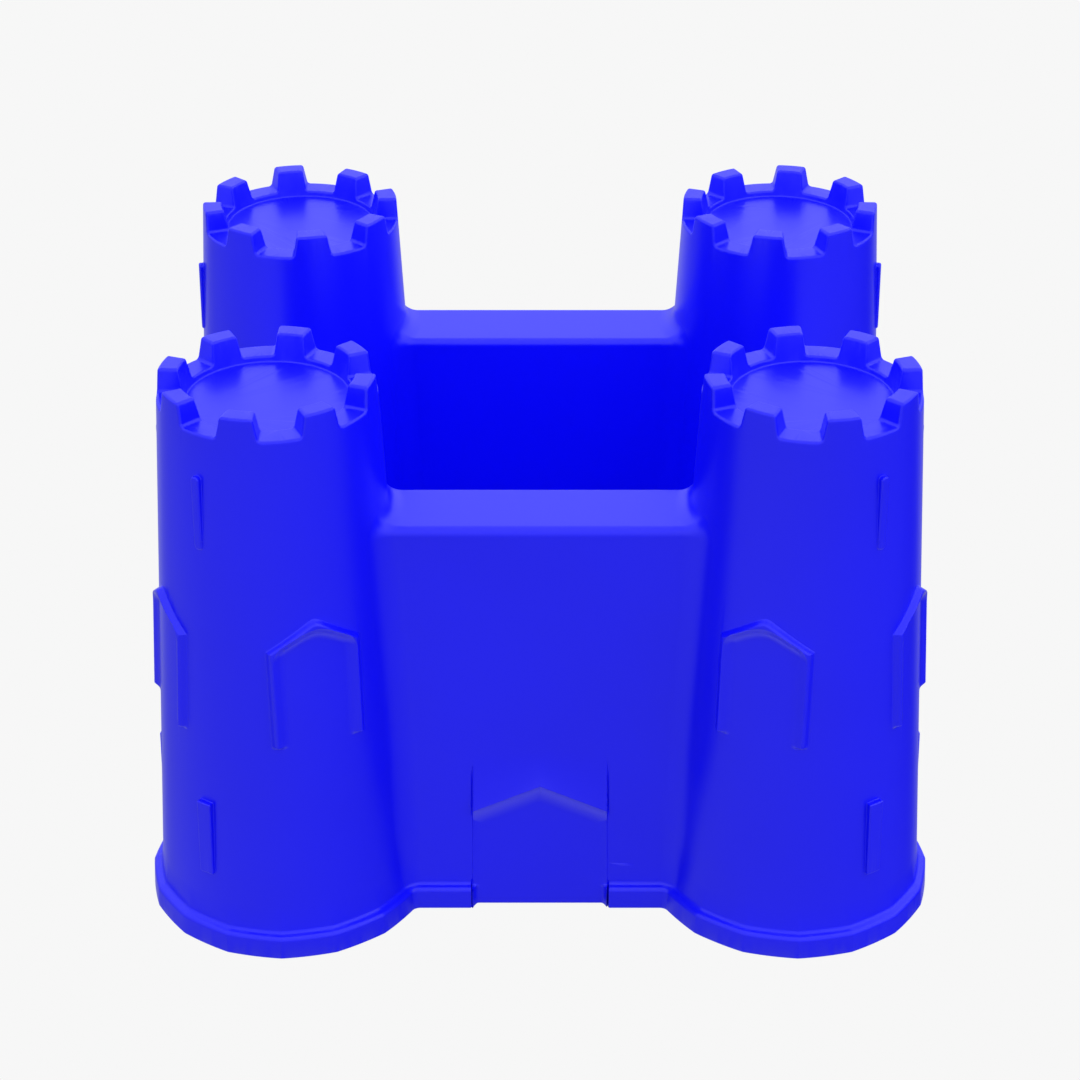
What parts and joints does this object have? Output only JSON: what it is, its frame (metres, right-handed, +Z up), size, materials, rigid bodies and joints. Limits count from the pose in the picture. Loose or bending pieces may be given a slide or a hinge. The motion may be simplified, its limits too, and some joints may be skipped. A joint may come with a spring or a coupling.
{
  "type": "sand bucket",
  "caption": "Castle-shaped sand bucket moulded in one piece, standing mouth down: round battlemented corner towers, flat-topped curtain walls, a deep courtyard and a stepped rim.",
  "frame": {"origin": "middle of the plan on the mouth plane, which is the plane of the rim's lower edge that the bucket stands on", "axes": "+Z up from the mouth to the tower tops, +X along the longer pair of walls, -Y towards the wall with the gate"},
  "size_m": [0.24, 0.212, 0.174],
  "materials": {
    "blue_plastic": "satin injection-moulded polyethylene in a pure saturated blue"
  },
  "bodies": {
    "root": {"courtyard_floor": "blue_plastic", "gate": "blue_plastic", "tower_front_left": "blue_plastic", "tower_front_right": "blue_plastic", "tower_back_left": "blue_plastic", "tower_back_right": "blue_plastic", "battlement_front_left": "blue_plastic", "battlement_front_right": "blue_plastic", "battlement_back_left": "blue_plastic", "battlement_back_right": "blue_plastic", "wall_front": "blue_plastic", "wall_back": "blue_plastic", "wall_left": "blue_plastic", "wall_right": "blue_plastic", "rim_lobe_front_left": "blue_plastic", "rim_lobe_front_right": "blue_plastic", "rim_lobe_back_left": "blue_plastic", "rim_lobe_back_right": "blue_plastic", "rim_run_front_left": "blue_plastic", "rim_run_front_right": "blue_plastic", "rim_run_back": "blue_plastic", "rim_run_left": "blue_plastic", "rim_run_right": "blue_plastic"}
  },
  "joints": []
}
